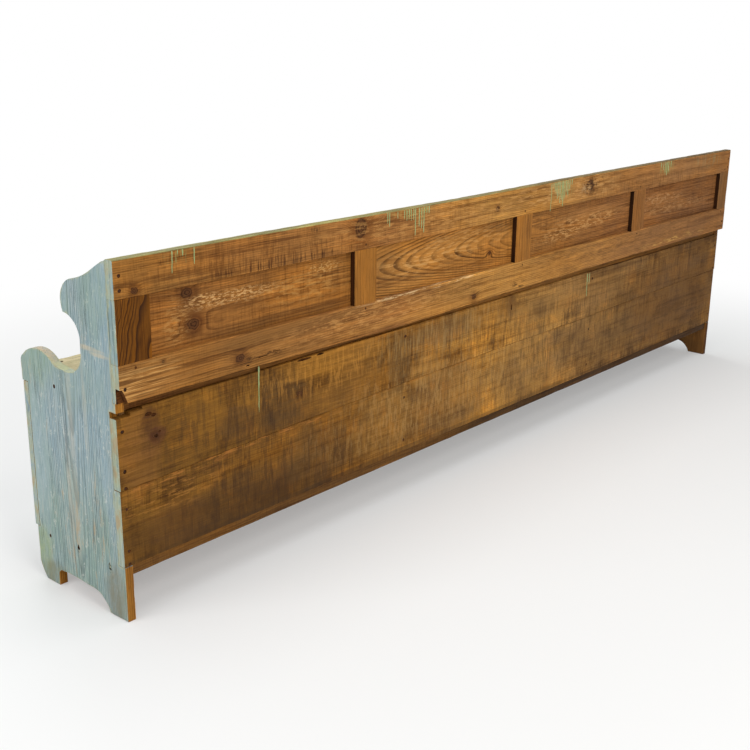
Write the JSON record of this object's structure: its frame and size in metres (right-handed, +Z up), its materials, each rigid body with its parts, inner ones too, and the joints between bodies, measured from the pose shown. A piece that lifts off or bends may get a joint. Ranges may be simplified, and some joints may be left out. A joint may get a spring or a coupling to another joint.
{
  "type": "monks bench",
  "caption": "Long painted pine monks bench with shaped end boards, a closed chest under lift-up seat lids, and a framed and panelled back.",
  "frame": {"origin": "centre of the bench's plan at floor level", "axes": "+X along the bench to the sitter's left, -Y the way the sitter faces, +Z up"},
  "size_m": [2.59, 0.3426, 0.735],
  "materials": {
    "blue_paint": "worn blue-grey milk paint on pine, with pale and ochre streaks",
    "aged_pine": "bare aged pine, golden to reddish brown, with grain, knots and saw marks",
    "inner_pine": "bare pine inside the chest",
    "cream_paint": "worn pale yellow-green paint on pine",
    "dark_pegs": "dark oak pegs",
    "iron": "dark rusted wrought iron"
  },
  "bodies": {
    "bench": {"back_bottom_rail": "aged_pine", "back_muntin_1": "aged_pine", "back_muntin_2": "aged_pine", "back_muntin_3": "aged_pine", "back_nails": "iron", "back_panel_1": "aged_pine", "back_panel_2": "aged_pine", "back_panel_3": "aged_pine", "back_panel_4": "aged_pine", "back_stile_left": "aged_pine", "back_stile_right": "aged_pine", "back_top_rail": "aged_pine", "chest_nails": "iron", "floor_board": "inner_pine", "frame_pegs": "dark_pegs", "front_board": "blue_paint", "hinge_pins": "iron", "left_divider": "inner_pine", "left_end_board": "blue_paint", "left_hinge_1_rail_leaf": "iron", "left_hinge_2_rail_leaf": "iron", "left_seat_bearer": "inner_pine", "left_seat_cleat": "inner_pine", "left_seat_end": "cream_paint", "lower_back_plank_lower": "aged_pine", "lower_back_plank_upper": "aged_pine", "middle_hinge_1_rail_leaf": "iron", "middle_hinge_2_rail_leaf": "iron", "rail_hinge_screws": "iron", "right_divider": "inner_pine", "right_end_board": "blue_paint", "right_hinge_1_rail_leaf": "iron", "right_hinge_2_rail_leaf": "iron", "right_seat_bearer": "inner_pine", "right_seat_cleat": "inner_pine", "right_seat_end": "cream_paint", "seat_rail": "cream_paint", "short_nails": "iron"},
    "left_lid": {"left_batten_screws": "iron", "left_hinge_1_lid_leaf": "iron", "left_hinge_2_lid_leaf": "iron", "left_hinge_screws": "iron", "left_lid": "cream_paint", "left_lid_batten_1": "inner_pine", "left_lid_batten_2": "inner_pine"},
    "middle_lid": {"middle_batten_screws": "iron", "middle_hinge_1_lid_leaf": "iron", "middle_hinge_2_lid_leaf": "iron", "middle_hinge_screws": "iron", "middle_lid": "cream_paint", "middle_lid_batten_1": "inner_pine", "middle_lid_batten_2": "inner_pine"},
    "right_lid": {"right_batten_screws": "iron", "right_hinge_1_lid_leaf": "iron", "right_hinge_2_lid_leaf": "iron", "right_hinge_screws": "iron", "right_lid": "cream_paint", "right_lid_batten_1": "inner_pine", "right_lid_batten_2": "inner_pine"}
  },
  "joints": [
    {"name": "left_lid_hinge", "type": "hinge", "parent": "bench", "child": "left_lid", "pos_m": [0.78925, 0.07655, 0.4658], "axis": [-1, 0, 0], "range_deg": [0, 106]},
    {"name": "middle_lid_hinge", "type": "hinge", "parent": "bench", "child": "middle_lid", "pos_m": [0, 0.07655, 0.4658], "axis": [-1, 0, 0], "range_deg": [0, 106]},
    {"name": "right_lid_hinge", "type": "hinge", "parent": "bench", "child": "right_lid", "pos_m": [-0.78925, 0.07655, 0.4658], "axis": [-1, 0, 0], "range_deg": [0, 106]}
  ]
}
